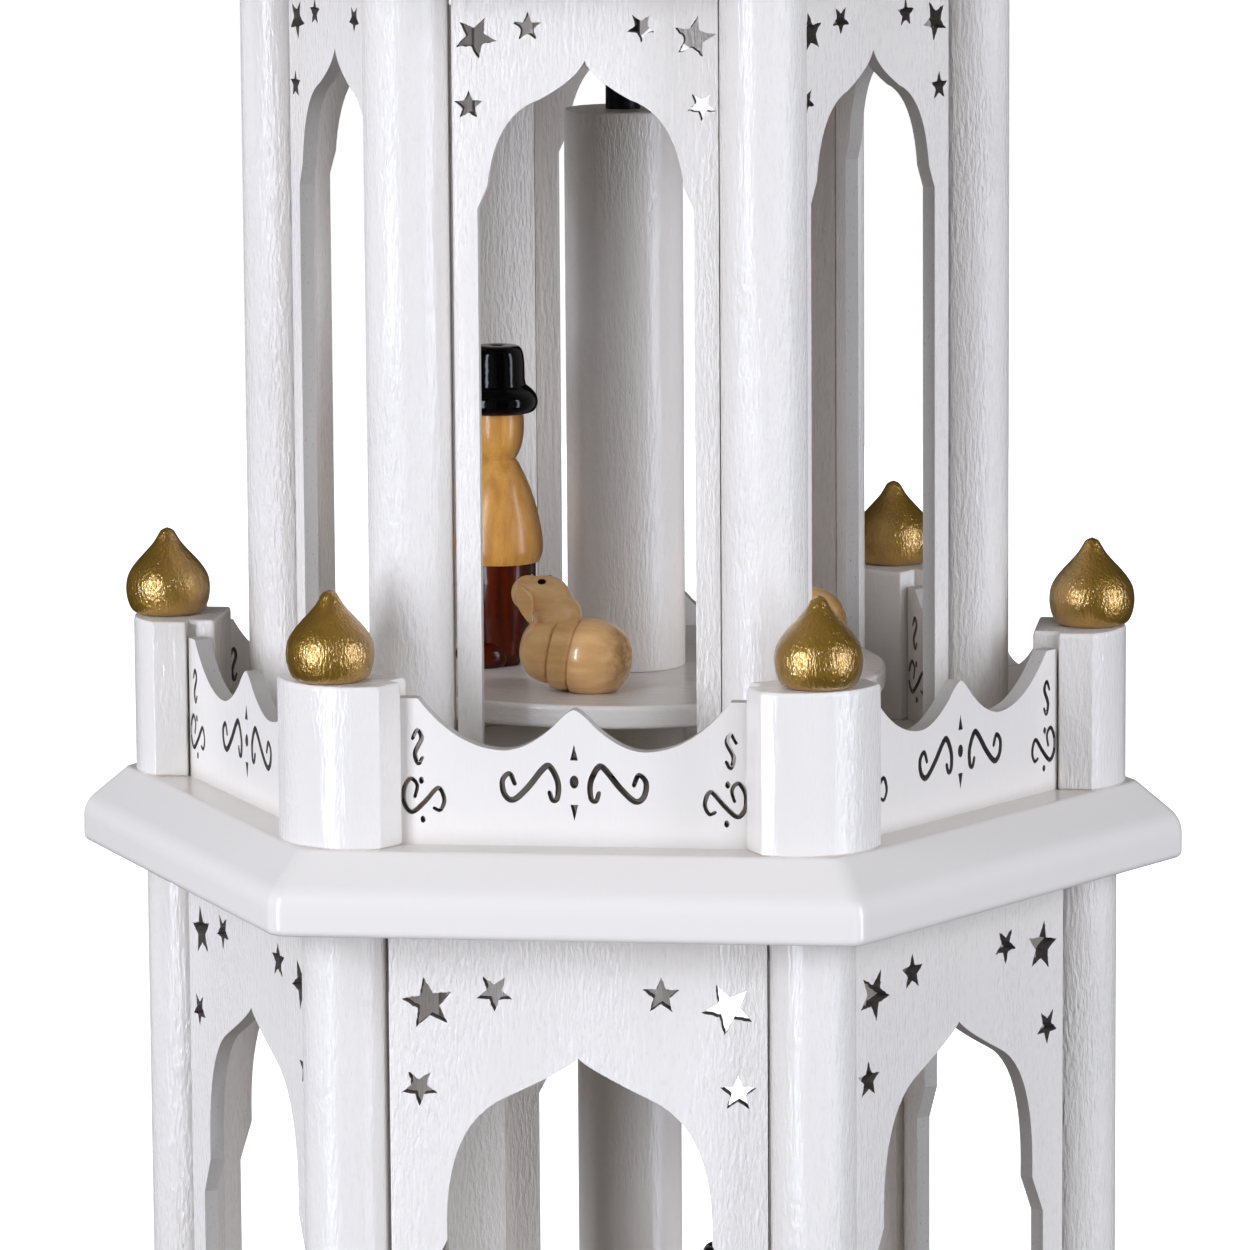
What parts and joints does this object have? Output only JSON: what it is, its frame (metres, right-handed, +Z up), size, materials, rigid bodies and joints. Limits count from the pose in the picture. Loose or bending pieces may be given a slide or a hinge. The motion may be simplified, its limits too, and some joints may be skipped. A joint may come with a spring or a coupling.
{
  "type": "christmas pyramid",
  "caption": "Hexagonal two-storey Christmas pyramid with pierced arch panels, a balustrade with onion knobs and a turning axle that carries plates, figures and a rotor.",
  "frame": {"origin": "centre of the base board's underside", "axes": "+Z up along the axle, -Y out of the front face of the hexagon, +X to the right of that face seen from outside"},
  "size_m": [0.2784, 0.2784, 0.38],
  "materials": {
    "lacquered_board": "milled board under satin white lacquer",
    "lacquered_post": "milled moulding under white lacquer with raised grain",
    "lacquered_plywood": "laser-cut plywood under thin white lacquer with scorched cut edges",
    "lacquered_turning": "turned wood under satin white lacquer",
    "gold_paint": "turned wood under rough gold bronze paint",
    "brass_cup": "spun brass, satin",
    "blackened_steel": "blackened and oiled",
    "rotor_wood": "planed light wood, clear matt lacquer",
    "turned_figure": "turned wood, clear gloss lacquer with black and red-brown painted parts",
    "turned_sheep": "turned pale wood, clear satin lacquer"
  },
  "bodies": {
    "frame": {"base_board": "lacquered_board", "lower_post_1": "lacquered_post", "lower_post_2": "lacquered_post", "lower_post_3": "lacquered_post", "lower_post_4": "lacquered_post", "lower_post_5": "lacquered_post", "lower_post_6": "lacquered_post", "lower_panel_1": "lacquered_plywood", "lower_panel_2": "lacquered_plywood", "lower_panel_3": "lacquered_plywood", "lower_panel_4": "lacquered_plywood", "lower_panel_5": "lacquered_plywood", "lower_panel_6": "lacquered_plywood", "middle_deck": "lacquered_board", "rail_post_1": "lacquered_post", "rail_post_2": "lacquered_post", "rail_post_3": "lacquered_post", "rail_post_4": "lacquered_post", "rail_post_5": "lacquered_post", "rail_post_6": "lacquered_post", "rail_panel_1": "lacquered_plywood", "rail_panel_2": "lacquered_plywood", "rail_panel_3": "lacquered_plywood", "rail_panel_4": "lacquered_plywood", "rail_panel_5": "lacquered_plywood", "rail_panel_6": "lacquered_plywood", "finial_1": "gold_paint", "finial_2": "gold_paint", "finial_3": "gold_paint", "finial_4": "gold_paint", "finial_5": "gold_paint", "finial_6": "gold_paint", "upper_post_1": "lacquered_post", "upper_post_2": "lacquered_post", "upper_post_3": "lacquered_post", "upper_post_4": "lacquered_post", "upper_post_5": "lacquered_post", "upper_post_6": "lacquered_post", "upper_panel_1": "lacquered_plywood", "upper_panel_2": "lacquered_plywood", "upper_panel_3": "lacquered_plywood", "upper_panel_4": "lacquered_plywood", "upper_panel_5": "lacquered_plywood", "upper_panel_6": "lacquered_plywood", "roof_board": "lacquered_board", "candle_cup_1": "brass_cup", "candle_cup_2": "brass_cup", "candle_cup_3": "brass_cup", "candle_cup_4": "brass_cup", "candle_cup_5": "brass_cup", "candle_cup_6": "brass_cup"},
    "carousel": {"axle": "blackened_steel", "lower_turntable": "lacquered_turning", "upper_plate": "lacquered_turning", "upper_column": "lacquered_turning", "rotor": "rotor_wood", "shepherd": "turned_figure", "sheep_front": "turned_sheep", "sheep_back": "turned_sheep", "lower_man": "turned_figure"}
  },
  "joints": [
    {"name": "carousel_spin", "type": "hinge", "parent": "frame", "child": "carousel", "pos_m": [0, 0, 0], "axis": [0, 0, 1], "continuous": true}
  ]
}
